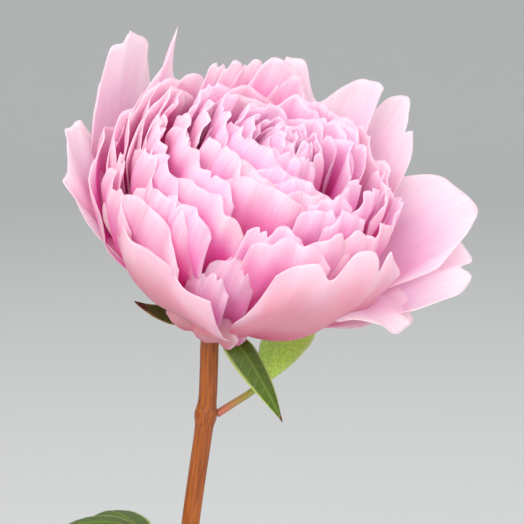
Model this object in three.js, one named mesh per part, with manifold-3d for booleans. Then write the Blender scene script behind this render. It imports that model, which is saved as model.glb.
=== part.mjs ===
// Peony in a bud vase: one double peony on a leaning stem, standing in a bottle-shaped stoneware vase.
// Millimetres, +Z up. The origin is the centre of the vase's flat foot.

import * as THREE from 'three';
import { mergeVertices } from 'three/addons/utils/BufferGeometryUtils.js';
import Module from 'manifold-3d';

const wasm = await Module();
wasm.setup();

const V = (x, y, z) => new THREE.Vector3(x, y, z);
const RAD = Math.PI / 180;

// ---- driving dimensions ----

const GAP = 0.3;                       // clearance kept between neighbouring pieces
const SKIN = 0.8;                      // thickness of a petal
const LEAF_SKIN = 0.9;                 // thickness of a leaf

const FOOT_RADIUS = 26;                // vase
const BELLY_RADIUS = 36;
const NECK_RADIUS = 11.8;
const NECK_BORE = 8.5;
const VASE_HEIGHT = 167;
const VASE_SIDES = 24;

const STEM_RADIUS = 3.5;               // stem
const STEM_SIDES = 10;
const BLOOM_SEAT = V(19.4, -4, 273);   // top of the stem, where the bloom is seated
const BLOOM_TILT = 31.7 * RAD;         // lean of the bloom's axis from vertical
const BLOOM_HEADING = -50 * RAD;       // direction of that lean

const DOME_RADIUS = 8;                 // receptacle that carries the petals
const DOME_RISE = 6.5;
const DOME_FOOT = 5.5;

// The stem's path, from the floor of the vase to the seat of the bloom.
const STEM_PATH = [
  V(-14, 6, 10.2), V(-7.6, 4.3, 60), V(-0.9, 2.4, 108), V(4.4, 0.6, 150),
  V(7.0, -0.1, 168), V(10.8, -1, 197.6), V(15.4, -2.4, 229), V(17.2, -3, 243),
  V(17.8, -3.3, 255), V(18.2, -3.5, 265), V(19.4, -4, 272),
];

// Petals. az: bearing round the bloom's axis. r, w: where the tip lies, out from the axis and up from
// the seat. lean: the tip's direction from the axis, negative when it curls in. tier: how far down the
// receptacle it grows, 1 at the rim. spring: the direction from the axis in which it leaves its foot.
// rise, fall: how far the midrib holds its first and last directions. swell: how late the blade widens.
// cup, flat: how strongly it is hollowed. round, power, slant, notches: its far edge. roll: its twist.
const GUARD_PETALS = [
  { name: 'guard_front', az: 306, spring: 62, r: 52, w: 76, lean: -14, width: 52, rise: 0.4,
    round: 0.16, notches: [[0.35, 0.08, 0.1], [-0.4, 0.06, 0.12]] },
  { name: 'guard_front_left', az: 222, spring: 58, r: 56, w: 50, lean: 10, width: 68, rise: 0.4,
    cup: 1.1, round: 0.1, slant: 0.04, roll: 0, swell: 5, flat: 38 },
  { name: 'guard_under_front', az: 256, spring: 84, r: 35, w: 35, lean: -34, width: 26, rise: 0.5,
    cup: 1.2 },
  { name: 'guard_right_upper', az: 12, spring: 60, r: 69, w: 80, lean: 48, width: 48, cup: 0.3,
    round: 0.3, roll: -24, slant: -0.1, swell: 1.1 },
  { name: 'guard_right_lower', az: 355, spring: 62, r: 76, w: 65, lean: 58, width: 40, cup: 0.3,
    round: 0.2, roll: -20 },
  { name: 'guard_far_right', az: 42, r: 53, w: 95, lean: 14, width: 36, cup: 0.5 },
  { name: 'guard_far', az: 74, r: 43, w: 95, lean: 10, width: 38, cup: 0.6, round: 0.0, slant: -0.03,
    notches: [[0.1, 0.1, 0.4]] },
  { name: 'guard_turned_down', az: 333, spring: 55, r: 66, w: 45, lean: 112, width: 34, cup: 0.2 },
  { name: 'guard_left', az: 174, spring: 54, r: 73, w: 56, lean: 32, width: 26, cup: 0.3, roll: 20,
    swell: 3.2 },
  { name: 'guard_left_low', az: 183, spring: 60, r: 69, w: 42, lean: 50, width: 20, cup: 0.3,
    swell: 3 },
  { name: 'guard_tall', az: 154, r: 71, w: 85, lean: 4, width: 35, rise: 0.5, fall: 0.5, round: 0.16,
    power: 3.5, notches: [[0.72, 0.08, 0.08]] },
  { name: 'guard_pointed', az: 146, r: 58, w: 82, lean: 4, width: 42, round: 0.36, power: 1.3,
    notches: [[0.0, -0.12, 0.12]] },
  { name: 'guard_back_left', az: 124, r: 54, w: 70, lean: 6, width: 60, cup: 0.8 },
  { name: 'guard_back', az: 98, r: 52, w: 74, lean: 6, width: 54, cup: 0.8 },
];

// The crown petals at the back are rounder at the tip.
const CROWN = { round: 0.26, power: 2.4 };

// The inner petals, by side of the bloom: [az, r, w, lean, width], then any changes of its own.
const INNER_PETALS = {
  front: [
    [281, 46, 74, -20, 26], [305, 43, 77, -20, 34], [326, 43, 76, -14, 32], [238, 43, 76, -25, 32],
    [228, 50, 69, -15, 30], [225, 54, 64, -8, 34], [203, 56, 60, -4, 30],
    [207, 36, 80, -40, 28, { round: 0.16 }], [262, 32, 82, -32, 32], [290, 29, 82, -32, 24],
    [345, 11, 84, -30, 19],
  ],
  left: [
    [168, 62, 57, 4, 44], [165, 57, 61, 2, 48], [158, 58, 68, 2, 54], [154, 55, 74, 0, 58],
    [150, 52, 76, -2, 60], [146, 49, 79, -2, 60], [204, 48, 71, -12, 32], [192, 53, 62, 0, 18],
    [225, 29, 84, -35, 22], [245, 28, 83, -40, 26], [160, 46, 78, -4, 52], [186, 44, 76, -15, 22],
    [168, 42, 79, -15, 28], [192, 36, 81, -30, 22], [180, 30, 85, -20, 26],
  ],
  back: [
    [132, 45, 86, 2, 17, CROWN], [125, 42, 88, 2, 20, CROWN], [116, 41, 90, 2, 19, CROWN],
    [104, 38, 94, 2, 26, CROWN], [94, 36, 90, 2, 18, CROWN], [125, 34, 83, 0, 50],
    [132, 26, 84, 0, 44],
  ],
  right: [
    [60, 36, 84, 0, 34], [46, 40, 82, 0, 34], [22, 42, 77, -6, 34], [355, 38, 80, -12, 24],
  ],
};
const HEART_RADIUS = 9;                // the tuft of small petals in the middle, one body
const HEART_TOP = 84;

const SEPALS = [
  { name: 'sepal_left', az: 196, tier: 1.24, r: 32, w: 4, lean: 70, width: 13, claw: 6, round: 0.75,
    power: 1.4 },
  { name: 'sepal_back', az: 96, tier: 1.24, r: 30, w: 8, lean: 60, width: 17, claw: 6, round: 0.6,
    power: 1.6 },
  { name: 'sepal_right', az: 20, tier: 1.24, r: 28, w: 6, lean: 60, width: 15, claw: 6, round: 0.6,
    power: 1.6 },
];

// Outlines turned round the bloom's axis: [out from the axis, up from the seat].
const RECEPTACLE_PROFILE = [
  [0, -6], [3.2, -6], [5, -2.5], [6.6, 1], [7.2, 4.5], [6.6, 7.6], [4.6, 10], [2, 11.2], [0, 11.4],
];
const HEART_PROFILE = [
  [0, 46], [5, 48], [8, 58], [HEART_RADIUS, 72], [HEART_RADIUS - 1.5, 80], [6, HEART_TOP], [0, HEART_TOP - 3],
];

// Leaves. side: the direction across the blade. fold: how far its halves close along the midrib.
// early: below 1 the blade is widest nearer its stalk, above 1 nearer its tip.
const BRACT_PATH = [
  V(24.5, -13.5, 270), V(30, -18, 266), V(37, -20, 255), V(42, -20, 246), V(45.2, -18, 238.5),
];
const BRACT_BLADE = { width: 12, fold: 0.35, early: 0.55 };
const UPPER_LEAF = {
  stalk: [V(23.1, -1.2, 237.9), V(27, 1, 240), V(33, 3.5, 243.2), V(39, 6.4, 247.4)],
  blade: [V(38, 6, 246.4), V(41.5, 10, 253.2), V(45.8, 14.5, 260.4), V(52, 21, 266), V(61, 29, 267)],
  side: V(0.85, -0.45, 0.1).normalize(),
  width: 24,
  fold: 0.3,
  early: 1.15,
};
const LOWER_FORK = V(-8, -4, 189);
const LOWER_STALK = [V(1.9, -0.8, 177), V(-1.2, -1.6, 181.6), V(-4.4, -3, 186)];
const LOWER_LEAFLETS = [
  { through: [V(-20, -5, 193), V(-34, -6, 192), V(-50, -7, 182.5), V(-60, -8, 172)], side: V(0, 1, 0.05),
    width: 26, fold: 0.22, early: 0.8 },
  { through: [V(-14, -14, 190), V(-24, -28, 187), V(-33, -41, 178), V(-38, -48, 168.5)], side: V(0.8, -0.6, 0),
    width: 20, fold: 0.22, early: 0.8 },
  { through: [V(-14, 7, 189), V(-24, 22, 187), V(-32, 34, 180), V(-38, 42, 171)], side: V(0.8, 0.6, 0),
    width: 20, fold: 0.22, early: 0.8 },
];


// ---- closed bodies from rows of points ----

function geometry(points, faces) {
  const shape = new THREE.BufferGeometry();
  shape.setAttribute('position', new THREE.Float32BufferAttribute(points.flatMap((p) => [p.x, p.y, p.z]), 3));
  shape.setIndex(faces.flat());
  return shape;
}

function volume(points, faces) {
  let sum = 0;
  for (const [a, b, c] of faces) {
    sum += points[a].dot(points[b].clone().cross(points[c]));
  }
  return sum / 6;
}

function closed(points, faces) {
  const outward = volume(points, faces) > 0 ? faces : faces.map(([a, b, c]) => [a, c, b]);
  return geometry(points, outward);
}

// A thin sheet: the two sides of a grid of points, joined round its border.
function sheet(grid, thickness) {
  const rows = grid.length;
  const cols = grid[0].length;
  const at = (i, j) => grid[Math.min(Math.max(i, 0), rows - 1)][Math.min(Math.max(j, 0), cols - 1)];
  const front = [];
  const back = [];
  for (let i = 0; i < rows; i += 1) {
    for (let j = 0; j < cols; j += 1) {
      const along = at(i + 1, j).clone().sub(at(i - 1, j));
      const across = at(i, j + 1).clone().sub(at(i, j - 1));
      const half = along.cross(across).normalize().multiplyScalar(thickness / 2);
      front.push(grid[i][j].clone().add(half));
      back.push(grid[i][j].clone().sub(half));
    }
  }
  const offset = rows * cols;
  const id = (i, j) => i * cols + j;
  const faces = [];
  for (let i = 0; i + 1 < rows; i += 1) {
    for (let j = 0; j + 1 < cols; j += 1) {
      const [a, b, c, d] = [id(i, j), id(i + 1, j), id(i + 1, j + 1), id(i, j + 1)];
      faces.push([a, b, c], [a, c, d]);
      faces.push([a + offset, c + offset, b + offset], [a + offset, d + offset, c + offset]);
    }
  }
  const border = [];
  for (let j = 0; j + 1 < cols; j += 1) border.push([id(0, j), id(0, j + 1)]);
  for (let i = 0; i + 1 < rows; i += 1) border.push([id(i, cols - 1), id(i + 1, cols - 1)]);
  for (let j = cols - 1; j > 0; j -= 1) border.push([id(rows - 1, j), id(rows - 1, j - 1)]);
  for (let i = rows - 1; i > 0; i -= 1) border.push([id(i, 0), id(i - 1, 0)]);
  for (const [a, b] of border) {
    faces.push([a, b, b + offset], [a, b + offset, a + offset]);
  }
  return closed([...front, ...back], faces);
}

// A closed body turned round +Z from an outline of [radius, height] points.
function turned(outline, sides) {
  const points = outline.map(([radius, height]) => new THREE.Vector2(radius, height));
  return new THREE.LatheGeometry(points, sides).rotateX(Math.PI / 2);
}

// A round rod along a curve, with a radius for each step.
function rod(curve, radiusAt, steps, sides) {
  const frames = curve.computeFrenetFrames(steps, false);
  const points = [];
  const faces = [];
  for (let i = 0; i <= steps; i += 1) {
    const centre = curve.getPointAt(i / steps);
    for (let k = 0; k < sides; k += 1) {
      const turn = (2 * Math.PI * k) / sides;
      const spoke = frames.normals[i].clone().multiplyScalar(Math.cos(turn));
      spoke.addScaledVector(frames.binormals[i], Math.sin(turn));
      points.push(centre.clone().addScaledVector(spoke, radiusAt(i / steps)));
    }
  }
  for (let i = 0; i < steps; i += 1) {
    for (let k = 0; k < sides; k += 1) {
      const next = (k + 1) % sides;
      const [a, b] = [i * sides + k, i * sides + next];
      faces.push([a, b, b + sides], [a, b + sides, a + sides]);
    }
  }
  for (const [end, ring] of [[0, 0], [1, steps]]) {
    points.push(curve.getPointAt(end));
    const hub = points.length - 1;
    for (let k = 0; k < sides; k += 1) {
      const [a, b] = [ring * sides + k, ring * sides + ((k + 1) % sides)];
      faces.push(ring === 0 ? [hub, b, a] : [hub, a, b]);
    }
  }
  return closed(points, faces);
}

// ---- joins and cuts ----

function solid(shape) {
  const bare = shape.clone();
  bare.deleteAttribute('normal');
  bare.deleteAttribute('uv');
  const merged = mergeVertices(bare, 1e-4);
  return new wasm.Manifold(new wasm.Mesh({
    numProp: 3,
    vertProperties: new Float32Array(merged.attributes.position.array),
    triVerts: new Uint32Array(merged.index.array),
  }));
}

function shapeOf(body) {
  const mesh = body.getMesh();
  const shape = new THREE.BufferGeometry();
  shape.setAttribute('position', new THREE.BufferAttribute(new Float32Array(mesh.vertProperties), 3));
  shape.setIndex(Array.from(mesh.triVerts));
  return shape;
}

function largest(body) {
  const parts = body.decompose();
  return parts.reduce((best, part) => (part.volume() > best.volume() ? part : best));
}

function near(a, b) {
  const [p, q] = [a.boundingBox(), b.boundingBox()];
  return [0, 1, 2].every((k) => p.min[k] < q.max[k] && q.min[k] < p.max[k]);
}

const placed = [];                     // clearance bodies of the pieces already in the bloom

// Keeps the part of a thin piece that lies clear of every piece placed before it.
function fit(shape, clearanceShape) {
  let body = solid(shape);
  const clearance = solid(clearanceShape);
  for (const other of placed) {
    if (near(body, other) && body.intersect(other).volume() > 1e-6) {
      body = largest(body.subtract(other));
    }
  }
  placed.push(clearance);
  return shapeOf(largest(body.simplify(0.08)));
}

// ---- petals ----

// A grid of points over one petal: rows run from its foot to its tip, columns from edge to edge.
function petalGrid(petal, rows, cols, grow) {
  const psi = (12 + 86 * (petal.tier ?? 1)) * RAD;
  const spring = petal.spring === undefined ? psi : petal.spring * RAD;
  const lean = petal.lean * RAD;
  const foot = [DOME_RADIUS * Math.sin(psi) + 0.6, DOME_FOOT + DOME_RISE * Math.cos(psi)];
  const tip = [petal.r, petal.w];
  const reach = Math.hypot(tip[0] - foot[0], tip[1] - foot[1]);
  const rise = reach * (petal.rise ?? 0.42);
  const fall = reach * (petal.fall ?? 0.38);
  const profile = [
    foot,
    [foot[0] + rise * Math.sin(spring), foot[1] + rise * Math.cos(spring)],
    [tip[0] - fall * Math.sin(lean), tip[1] - fall * Math.cos(lean)],
    tip,
  ];
  const bezier = (t, k) => (1 - t) ** 3 * profile[0][k] + 3 * (1 - t) ** 2 * t * profile[1][k]
    + 3 * (1 - t) * t * t * profile[2][k] + t ** 3 * profile[3][k];
  const width = petal.width * (petal.full ?? 1.12);
  const claw = (petal.claw ?? 6) / width;
  const widest = 0.62;
  const grid = [];
  for (let i = 0; i <= rows; i += 1) {
    const line = [];
    for (let j = 0; j <= cols; j += 1) {
      const v = -1 + (2 * j) / cols;
      let outline = 1 + (petal.slant ?? 0) * v - (petal.round ?? 0.28) * Math.abs(v) ** (petal.power ?? 2.3);
      for (const [where, depth, spread] of petal.notches ?? []) {
        outline -= depth * Math.exp(-(((v - where) / spread) ** 2));
      }
      const run = (i / rows) * (outline + (2 * grow) / reach) - grow / reach;
      const s = Math.min(Math.max(run, 0), 1);
      const before = Math.min(run, 0) * reach;
      const after = Math.max(run - 1, 0) * reach;
      const out = bezier(s, 0) + before * Math.sin(spring) + after * Math.sin(lean);
      const up = bezier(s, 1) + before * Math.cos(spring) + after * Math.cos(lean);
      const opened = Math.sin((Math.PI / 2) * Math.min(s / widest, 1));
      let spread = claw + (1 - claw) * opened ** (petal.swell ?? 1.7);
      spread *= 1 - 0.12 * Math.max((s - widest) / (1 - widest), 0) ** 2;
      const half = (width / 2) * spread + grow;
      const cup = (1 + ((petal.cup ?? 1) - 1) * s) / Math.max(out, petal.flat ?? 10);
      const arc = v * half;
      const y = Math.sin(cup * arc) / cup;
      const rolled = (petal.roll ?? 0) * RAD * s ** 1.5;
      const ahead = Math.min(s + 0.02, 1);
      const behind = ahead - 0.04;
      const along = [bezier(ahead, 0) - bezier(behind, 0), bezier(ahead, 1) - bezier(behind, 1)];
      const slope = along[1] / Math.hypot(...along);
      const x = out - (1 - Math.cos(cup * arc)) / cup + y * Math.sin(rolled) * slope;
      const z = up - y * Math.sin(rolled) * Math.sqrt(Math.max(1 - slope ** 2, 0));
      const side = y * Math.cos(rolled);
      const az = petal.az * RAD;
      line.push(V(x * Math.cos(az) - side * Math.sin(az), x * Math.sin(az) + side * Math.cos(az), z));
    }
    grid.push(line);
  }
  return grid;
}

function petalShape(petal, rows, cols) {
  const shape = sheet(petalGrid(petal, rows, cols, 0), SKIN);
  const clearance = sheet(petalGrid(petal, rows, cols, GAP), SKIN + 2 * GAP);
  return fit(shape, clearance);
}

// An inner petal grows higher on the receptacle the nearer its tip is to the axis.
function innerPetal(name, [az, r, w, lean, width, changes]) {
  const fromAxis = Math.atan2(r, w - 22) / RAD;
  const fall = 0.36 - 0.16 * Math.min(1, Math.max(0, -lean) / 30);
  const arch = (0.4 * width) / Math.hypot(r, w - 8);
  const tier = 0.08 + (0.85 * fromAxis) / 75;
  return { name, az, r, w, lean, width, tier, fall, round: arch, power: 2.2, swell: 1.3, ...changes };
}

// ---- leaves ----

// A blade along a curve, folded along its midrib and pointed at its tip.
function bladeGrid(curve, { side, width, fold, early }, rows, cols, grow) {
  const grid = [];
  for (let i = 0; i <= rows; i += 1) {
    const t = i / rows;
    const centre = curve.getPointAt(t);
    const along = curve.getTangentAt(t);
    const across = side.clone().addScaledVector(along, -side.dot(along)).normalize();
    const up = along.clone().cross(across);
    const swell = 0.1 + 0.9 * Math.max(Math.sin(Math.PI * t ** early), 0) ** 0.9 * (1 - 0.1 * t);
    const half = (width / 2) * swell * (1 - t ** 8) + 0.4 + grow;
    const line = [];
    for (let j = 0; j <= cols; j += 1) {
      const v = -1 + (2 * j) / cols;
      const point = centre.clone().addScaledVector(across, v * half * Math.cos(fold));
      line.push(point.addScaledVector(up, (Math.abs(v) - 0.5) * half * Math.sin(fold)));
    }
    grid.push(line);
  }
  return grid;
}

function curveThrough(points) {
  return new THREE.CatmullRomCurve3(points, false, 'centripetal');
}

// ---- the scene graph ----

const peonyInBudVase = new THREE.Group();
peonyInBudVase.name = 'peony_in_bud_vase';

function finish(color, roughness, metalness = 0) {
  return new THREE.MeshStandardMaterial({ color, roughness, metalness });
}

function place(parent, name, shape, material) {
  const mesh = new THREE.Mesh(shape, material);
  mesh.name = name;
  mesh.geometry.computeVertexNormals();
  parent.add(mesh);
}

function vaseShape() {
  const outer = new THREE.SplineCurve([
    [FOOT_RADIUS, 1.2], [FOOT_RADIUS + 3.5, 8], [BELLY_RADIUS - 1.8, 28], [BELLY_RADIUS, 45],
    [BELLY_RADIUS - 4.5, 66], [21.5, 86], [14.5, 101], [NECK_RADIUS + 0.3, 116], [NECK_RADIUS, 142],
    [NECK_RADIUS + 1, 158], [NECK_RADIUS + 3.2, VASE_HEIGHT - 1.6],
  ].map(([r, z]) => new THREE.Vector2(r, z)));
  const inner = new THREE.SplineCurve([
    [NECK_BORE + 3.4, VASE_HEIGHT - 1], [NECK_BORE + 1, 158], [NECK_BORE, 146], [NECK_BORE, 118],
    [NECK_BORE + 2.2, 103], [17.5, 87], [27.5, 67], [BELLY_RADIUS - 3.4, 45], [BELLY_RADIUS - 5.4, 26],
    [FOOT_RADIUS - 2.5, 8],
  ].map(([r, z]) => new THREE.Vector2(r, z)));
  const profile = [
    new THREE.Vector2(0, 0),
    new THREE.Vector2(FOOT_RADIUS - 1.2, 0),
    ...outer.getPoints(12),
    new THREE.Vector2(NECK_RADIUS + 2.2, VASE_HEIGHT),
    ...inner.getPoints(11),
    new THREE.Vector2(FOOT_RADIUS - 8, 5.6),
    new THREE.Vector2(0, 5.6),
  ];
  return shapeOf(solid(new THREE.LatheGeometry(profile, VASE_SIDES).rotateX(Math.PI / 2)));
}

const bloom = new THREE.Group();
bloom.position.copy(BLOOM_SEAT);
const axis = V(
  Math.sin(BLOOM_TILT) * Math.cos(BLOOM_HEADING),
  Math.sin(BLOOM_TILT) * Math.sin(BLOOM_HEADING),
  Math.cos(BLOOM_TILT),
);
bloom.quaternion.setFromUnitVectors(V(0, 0, 1), axis);
bloom.updateMatrix();
const toBloom = bloom.matrix.clone().invert();

function stemShape() {
  const path = curveThrough(STEM_PATH);
  const swelling = (t, at) => Math.exp(-(((t - at) / 0.012) ** 2));
  const radiusAt = (t) => STEM_RADIUS + 0.9 * swelling(t, 0.865) + 0.8 * swelling(t, 0.635);
  const stalk = solid(rod(path, radiusAt, 24, STEM_SIDES));
  const receptacle = turned(RECEPTACLE_PROFILE, 12).applyMatrix4(bloom.matrix);
  return shapeOf(stalk.add(solid(receptacle)));
}

// The bract that hangs beside the stem, in the bloom's own frame.
function bractShape() {
  const path = curveThrough(BRACT_PATH.map((p) => p.clone().applyMatrix4(toBloom)));
  const side = V(-0.75, -0.55, -0.35).transformDirection(toBloom);
  const blade = { ...BRACT_BLADE, side };
  return fit(
    sheet(bladeGrid(path, blade, 7, 2, 0), LEAF_SKIN),
    sheet(bladeGrid(path, blade, 7, 2, GAP), LEAF_SKIN + 2 * GAP),
  );
}

// The upper leaf: its stalk leaves the stem's upper joint and its blade stands behind the bloom.
function upperLeafShape() {
  const stalk = solid(rod(curveThrough(UPPER_LEAF.stalk), (t) => 1.5 - 0.3 * t, 6, 7));
  const blade = solid(sheet(bladeGrid(curveThrough(UPPER_LEAF.blade), UPPER_LEAF, 8, 4, 0), LEAF_SKIN));
  return shapeOf(stalk.add(blade));
}

// The lower leaf: a stalk from the joint above the vase's mouth, carrying three leaflets.
function lowerLeafShape() {
  let leaf = solid(rod(curveThrough([...LOWER_STALK, LOWER_FORK]), (t) => 1.7 - 0.4 * t, 6, 7));
  for (const leaflet of LOWER_LEAFLETS) {
    const path = curveThrough([LOWER_FORK, ...leaflet.through]);
    leaf = leaf.add(solid(sheet(bladeGrid(path, leaflet, 8, 2, 0), LEAF_SKIN)));
  }
  return shapeOf(leaf);
}

const leafGreen = finish(0x48701c, 0.5);
const paleGreen = finish(0x9cc060, 0.5);
const sepalGreen = finish(0x5a6a2a, 0.6);

place(peonyInBudVase, 'vase', vaseShape(), finish(0xe9e4d8, 0.3));
place(peonyInBudVase, 'stem', stemShape(), finish(0x9a5a1e, 0.5));
place(peonyInBudVase, 'leaf_upper', upperLeafShape(), paleGreen.clone());
place(peonyInBudVase, 'leaf_lower', lowerLeafShape(), leafGreen.clone());

for (const petal of GUARD_PETALS) {
  place(bloom, `petal_${petal.name}`, petalShape(petal, 8, 6), finish(0xf0c0d0, 0.6));
}
for (const sepal of SEPALS) {
  place(bloom, sepal.name, petalShape(sepal, 5, 4), sepalGreen.clone());
}
place(bloom, 'bract', bractShape(), leafGreen.clone());

// The tuft of small petals round the middle of the bloom, in one body.
function heartShape() {
  const grown = HEART_PROFILE.map(([r, z], i) => {
    const shift = i < 2 ? -GAP : i > 4 ? GAP : 0;
    return [r === 0 ? 0 : r + GAP, z + shift];
  });
  return fit(turned(HEART_PROFILE, 14), turned(grown, 14));
}
place(bloom, 'heart', heartShape(), finish(0xf08fb8, 0.6));

for (const [side, rows] of Object.entries(INNER_PETALS)) {
  rows.forEach((row, k) => {
    const petal = innerPetal(`petal_${side}_${String(k + 1).padStart(2, '0')}`, row);
    place(bloom, petal.name, petalShape(petal, 5, 4), finish(0xf2a8c6, 0.6));
  });
}

peonyInBudVase.add(bloom);

export default peonyInBudVase;
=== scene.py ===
"""Peony in a bud vase: petals, leaves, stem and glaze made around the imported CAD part."""

import math

import bpy
import numpy as np
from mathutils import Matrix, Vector


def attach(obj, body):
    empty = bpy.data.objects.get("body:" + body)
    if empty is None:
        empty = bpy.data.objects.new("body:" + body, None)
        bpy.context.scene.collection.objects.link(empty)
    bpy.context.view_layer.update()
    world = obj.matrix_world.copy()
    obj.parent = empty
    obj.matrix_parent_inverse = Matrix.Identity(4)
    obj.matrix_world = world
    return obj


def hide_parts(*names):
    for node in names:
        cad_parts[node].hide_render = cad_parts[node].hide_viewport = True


MM = 0.001
BODY = "root"

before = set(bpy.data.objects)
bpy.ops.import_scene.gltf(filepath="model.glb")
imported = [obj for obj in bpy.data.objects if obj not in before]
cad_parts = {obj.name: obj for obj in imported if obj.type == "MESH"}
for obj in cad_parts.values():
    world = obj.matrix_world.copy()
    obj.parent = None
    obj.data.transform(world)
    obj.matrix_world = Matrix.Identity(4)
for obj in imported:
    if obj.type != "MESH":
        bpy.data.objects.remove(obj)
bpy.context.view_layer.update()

# ---- the bloom's seat and lean, and the stem's path, in millimetres ----

BLOOM_SEAT = np.array([19.4, -4.0, 273.0])
BLOOM_TILT = math.radians(31.7)
BLOOM_HEADING = math.radians(-50.0)
BLOOM_AXIS = Vector((
    math.sin(BLOOM_TILT) * math.cos(BLOOM_HEADING),
    math.sin(BLOOM_TILT) * math.sin(BLOOM_HEADING),
    math.cos(BLOOM_TILT),
))
BLOOM_TURN = np.array(Vector((0, 0, 1)).rotation_difference(BLOOM_AXIS).to_matrix())

# the receptacle that carries the petals
DOME_RADIUS = 8.0
DOME_RISE = 6.5
DOME_FOOT = 5.5
FOOT_SUNK = 0.6

PETAL_SKIN = 0.32
LEAF_SKIN = 0.45
STEM_RADIUS = 3.5

# a petal is widest at this share of its length, and narrows by this share towards its tip
PETAL_WIDEST = 0.62
PETAL_TAPER = 0.12
PETAL_FULLNESS = 1.12

# rows and columns of each sheet
GUARD_GRID = (44, 40)
INNER_GRID = (38, 32)
HEART_GRID = (32, 26)
SEPAL_GRID = (24, 14)
BLADE_GRID = (60, 20)

FULL_TURN = 2 * math.pi

# the stem's joints, as shares of its length, and how far they swell
UPPER_JOINT = 0.865
UPPER_JOINT_SWELL = 0.9
LOWER_JOINT = 0.635
LOWER_JOINT_SWELL = 0.8
JOINT_LENGTH = 0.012

STEM_PATH = [
    (-14, 6, 10.2), (-7.6, 4.3, 60), (-0.9, 2.4, 108), (4.4, 0.6, 150), (7.0, -0.1, 168),
    (10.8, -1, 197.6), (15.4, -2.4, 229), (17.2, -3, 243), (17.8, -3.3, 255), (18.2, -3.5, 265),
    (19.4, -4, 272),
]

# Petals, in millimetres and degrees. az: bearing round the bloom's axis. r, w: where the tip lies, out
# from the axis and up from the seat. lean: the tip's direction from the axis, negative when it curls in.
# tier: how far down the receptacle it grows, 1 at the rim. spring: the direction in which it leaves its
# foot. rise, fall: how long it holds its first and its last direction. swell: how late the blade widens.
# claw: how wide its foot is. cup, flat: how strongly it is hollowed. roll: its twist. round, power, slant,
# notches, frill: the shape of its far edge.
GUARD_PETALS = [
    dict(name="guard_front", az=306, spring=62, r=52, w=76, lean=-14, width=52, rise=0.4, round=0.16,
         notches=[(0.35, 0.08, 0.1), (-0.4, 0.06, 0.12)]),
    dict(name="guard_front_left", az=222, spring=58, r=56, w=50, lean=10, width=68, rise=0.4, cup=1.1,
         round=0.1, slant=0.04, swell=5, flat=38),
    dict(name="guard_under_front", az=256, spring=84, r=35, w=35, lean=-34, width=26, rise=0.5, cup=1.2),
    dict(name="guard_right_upper", az=12, spring=60, r=69, w=80, lean=48, width=48, cup=0.3, round=0.3,
         roll=-24, slant=-0.1, swell=1.1),
    dict(name="guard_right_lower", az=355, spring=62, r=76, w=65, lean=58, width=40, cup=0.3, round=0.2,
         roll=-20),
    dict(name="guard_far_right", az=42, r=53, w=95, lean=14, width=36, cup=0.5),
    dict(name="guard_far", az=74, r=43, w=95, lean=10, width=38, cup=0.6, round=0.0, slant=-0.03,
         notches=[(0.1, 0.1, 0.4)]),
    dict(name="guard_turned_down", az=333, spring=55, r=66, w=45, lean=112, width=34, cup=0.2),
    dict(name="guard_left", az=174, spring=54, r=73, w=56, lean=32, width=26, cup=0.3, roll=20, swell=3.2),
    dict(name="guard_left_low", az=183, spring=60, r=69, w=42, lean=50, width=20, cup=0.3, swell=3),
    dict(name="guard_tall", az=154, r=71, w=85, lean=4, width=35, rise=0.5, fall=0.5, round=0.16,
         power=3.5, frill=0.4, notches=[(0.72, 0.08, 0.08)]),
    dict(name="guard_pointed", az=146, r=58, w=82, lean=4, width=42, round=0.36, power=1.3, frill=0.3,
         notches=[(0.0, -0.12, 0.12)]),
    dict(name="guard_back_left", az=124, r=54, w=70, lean=6, width=60, cup=0.8),
    dict(name="guard_back", az=98, r=52, w=74, lean=6, width=54, cup=0.8),
]

# Crown petals, at the back of the bloom, have a smoother far edge.
CROWN = dict(round=0.26, power=2.4, frill=0.5)

# The inner petals, by side of the bloom: (az, r, w, lean, width), then any changes of its own.
INNER_PETALS = {
    "front": [
        (281, 46, 74, -20, 26), (305, 43, 77, -20, 34), (326, 43, 76, -14, 32), (238, 43, 76, -25, 32),
        (228, 50, 69, -15, 30), (225, 54, 64, -8, 34), (203, 56, 60, -4, 30),
        (207, 36, 80, -40, 28, dict(notches=[(0.1, 0.05, 0.12)], round=0.16)),
        (262, 32, 82, -32, 32), (290, 29, 82, -32, 24), (345, 11, 84, -30, 19),
    ],
    "left": [
        (168, 62, 57, 4, 44), (165, 57, 61, 2, 48), (158, 58, 68, 2, 54), (154, 55, 74, 0, 58),
        (150, 52, 76, -2, 60), (146, 49, 79, -2, 60), (204, 48, 71, -12, 32), (192, 53, 62, 0, 18),
        (225, 29, 84, -35, 22), (245, 28, 83, -40, 26), (160, 46, 78, -4, 52), (186, 44, 76, -15, 22),
        (168, 42, 79, -15, 28), (192, 36, 81, -30, 22), (180, 30, 85, -20, 26),
    ],
    "back": [
        (132, 45, 86, 2, 17, CROWN), (125, 42, 88, 2, 20, CROWN), (116, 41, 90, 2, 19, CROWN),
        (104, 38, 94, 2, 26, CROWN), (94, 36, 90, 2, 18, CROWN), (125, 34, 83, 0, 50), (132, 26, 84, 0, 44),
    ],
    "right": [
        (60, 36, 84, 0, 34), (46, 40, 82, 0, 34), (22, 42, 77, -6, 34), (355, 38, 80, -12, 24),
    ],
}

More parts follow.
